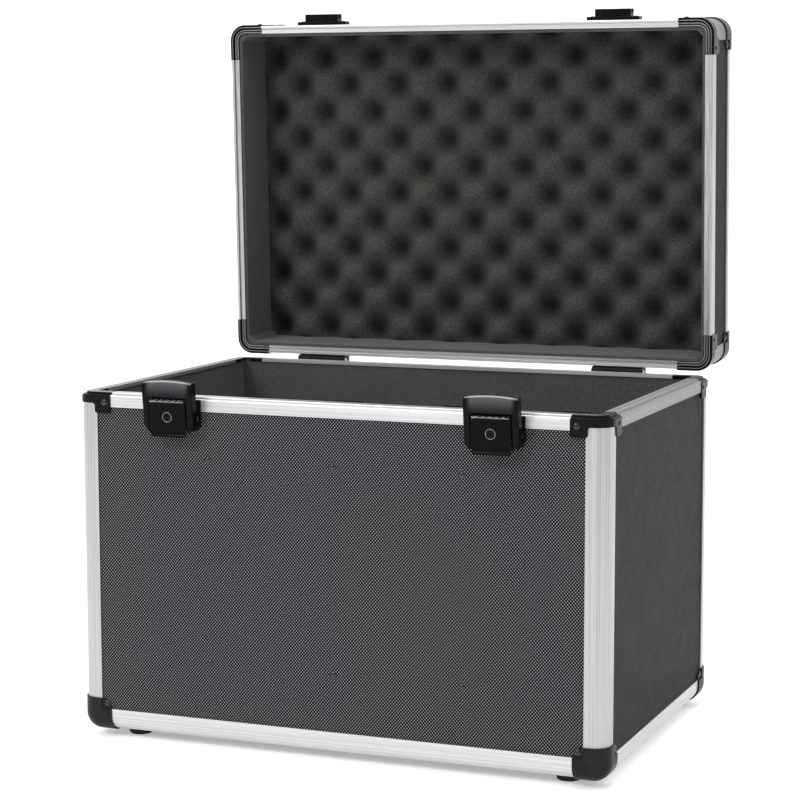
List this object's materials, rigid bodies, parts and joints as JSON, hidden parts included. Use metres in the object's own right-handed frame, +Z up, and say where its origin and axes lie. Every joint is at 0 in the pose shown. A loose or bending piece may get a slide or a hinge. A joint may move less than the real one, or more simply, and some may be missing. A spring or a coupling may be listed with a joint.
{
  "type": "telescope carry case",
  "caption": "Hard-sided carry case with aluminium edges, hinged foam-lined lid, locking latches, divider rails and rubber feet.",
  "frame": {"origin": "under the middle of the open case, on the plane of the feet's undersides", "axes": "+X to the case's right seen from the front, +Y to the back, +Z up; the lid stands open"},
  "size_m": [0.5248, 0.4572, 0.6936],
  "materials": {
    "black_rivet": "glossy black dome",
    "bracket_plastic": "satin black",
    "bright_steel": "zinc plated",
    "corner_plastic": "satin charcoal",
    "dark_rivet": "black painted pop rivet",
    "felt": "short dark felt over padding",
    "foam": "open-cell foam, near black",
    "foot_rubber": "matt black",
    "handle_plastic": "satin black",
    "hinge_steel": "black painted steel",
    "laminate": "black laminate with a fine raised diamond dot texture",
    "latch_plastic": "satin black",
    "lock_metal": "black plated",
    "rail_plastic": "satin black",
    "satin_aluminium": "satin anodised with fine lengthwise lines"
  },
  "bodies": {
    "lower_shell": {"bottom_panel": "laminate", "front_panel": "laminate", "back_panel": "laminate", "left_panel": "laminate", "right_panel": "laminate", "corner_posts": "satin_aluminium", "bottom_edges_long": "satin_aluminium", "bottom_edges_short": "satin_aluminium", "rim_front": "satin_aluminium", "rim_back": "satin_aluminium", "rim_left": "satin_aluminium", "rim_right": "satin_aluminium", "rim_brackets": "bracket_plastic", "ball_corners": "corner_plastic", "feet": "foot_rubber", "foot_screws": "bright_steel", "body_rivets": "dark_rivet", "rail_rivets": "black_rivet", "divider_rails": "rail_plastic", "wall_linings": "felt", "floor_lining": "felt", "latch_base_left": "latch_plastic", "latch_base_right": "latch_plastic", "claw_pins": "bright_steel", "hinge_body_leaf_left": "hinge_steel", "hinge_body_leaf_right": "hinge_steel", "hinge_pins": "bright_steel"},
    "lid": {"lid_top_panel": "laminate", "lid_front_panel": "laminate", "lid_back_panel": "laminate", "lid_left_panel": "laminate", "lid_right_panel": "laminate", "lid_posts": "satin_aluminium", "lid_edges_long": "satin_aluminium", "lid_edges_short": "satin_aluminium", "lid_rim_front": "satin_aluminium", "lid_rim_back": "satin_aluminium", "lid_rim_left": "satin_aluminium", "lid_rim_right": "satin_aluminium", "lid_rim_brackets": "bracket_plastic", "lid_ball_corners": "corner_plastic", "lid_rivets": "dark_rivet", "keeper_left": "latch_plastic", "keeper_right": "latch_plastic", "hinge_lid_leaf_left": "hinge_steel", "hinge_lid_leaf_right": "hinge_steel", "lid_lining": "felt", "foam_pad": "foam", "handle_brackets": "handle_plastic", "handle_pins": "bright_steel"},
    "handle": {"handle_grip": "handle_plastic"},
    "latch_claw_left": {"claw_left": "latch_plastic", "lever_pin_left": "bright_steel"},
    "latch_lever_left": {"lever_left": "latch_plastic"},
    "lock_left": {"lock_plug_left": "lock_metal"},
    "latch_claw_right": {"claw_right": "latch_plastic", "lever_pin_right": "bright_steel"},
    "latch_lever_right": {"lever_right": "latch_plastic"},
    "lock_right": {"lock_plug_right": "lock_metal"}
  },
  "joints": [
    {"name": "lid_hinge", "type": "hinge", "parent": "lower_shell", "child": "lid", "pos_m": [0, 0.13955, 0.33215], "axis": [1, 0, 0], "range_deg": [0, 88]},
    {"name": "handle_swing", "type": "hinge", "parent": "lid", "child": "handle", "pos_m": [0, 0.22096, 0.5123], "axis": [1, 0, 0], "range_deg": [0, 90]},
    {"name": "claw_swing_left", "type": "hinge", "parent": "lower_shell", "child": "latch_claw_left", "pos_m": [-0.1575, -0.21715, 0.306], "axis": [1, 0, 0], "range_deg": [-6, 44]},
    {"name": "lever_lift_left", "type": "hinge", "parent": "latch_claw_left", "child": "latch_lever_left", "pos_m": [-0.1575, -0.22454, 0.32755], "axis": [-1, 0, 0], "range_deg": [0, 95]},
    {"name": "lock_turn_left", "type": "hinge", "parent": "latch_lever_left", "child": "lock_left", "pos_m": [-0.1575, -0.22356, 0.31438], "axis": [0, -0.9945, -0.1045], "range_deg": [0, 90]},
    {"name": "claw_swing_right", "type": "hinge", "parent": "lower_shell", "child": "latch_claw_right", "pos_m": [0.1575, -0.21715, 0.306], "axis": [1, 0, 0], "range_deg": [-6, 44]},
    {"name": "lever_lift_right", "type": "hinge", "parent": "latch_claw_right", "child": "latch_lever_right", "pos_m": [0.1575, -0.22454, 0.32755], "axis": [-1, 0, 0], "range_deg": [0, 95]},
    {"name": "lock_turn_right", "type": "hinge", "parent": "latch_lever_right", "child": "lock_right", "pos_m": [0.1575, -0.22356, 0.31438], "axis": [0, -0.9945, -0.1045], "range_deg": [0, 90]}
  ]
}
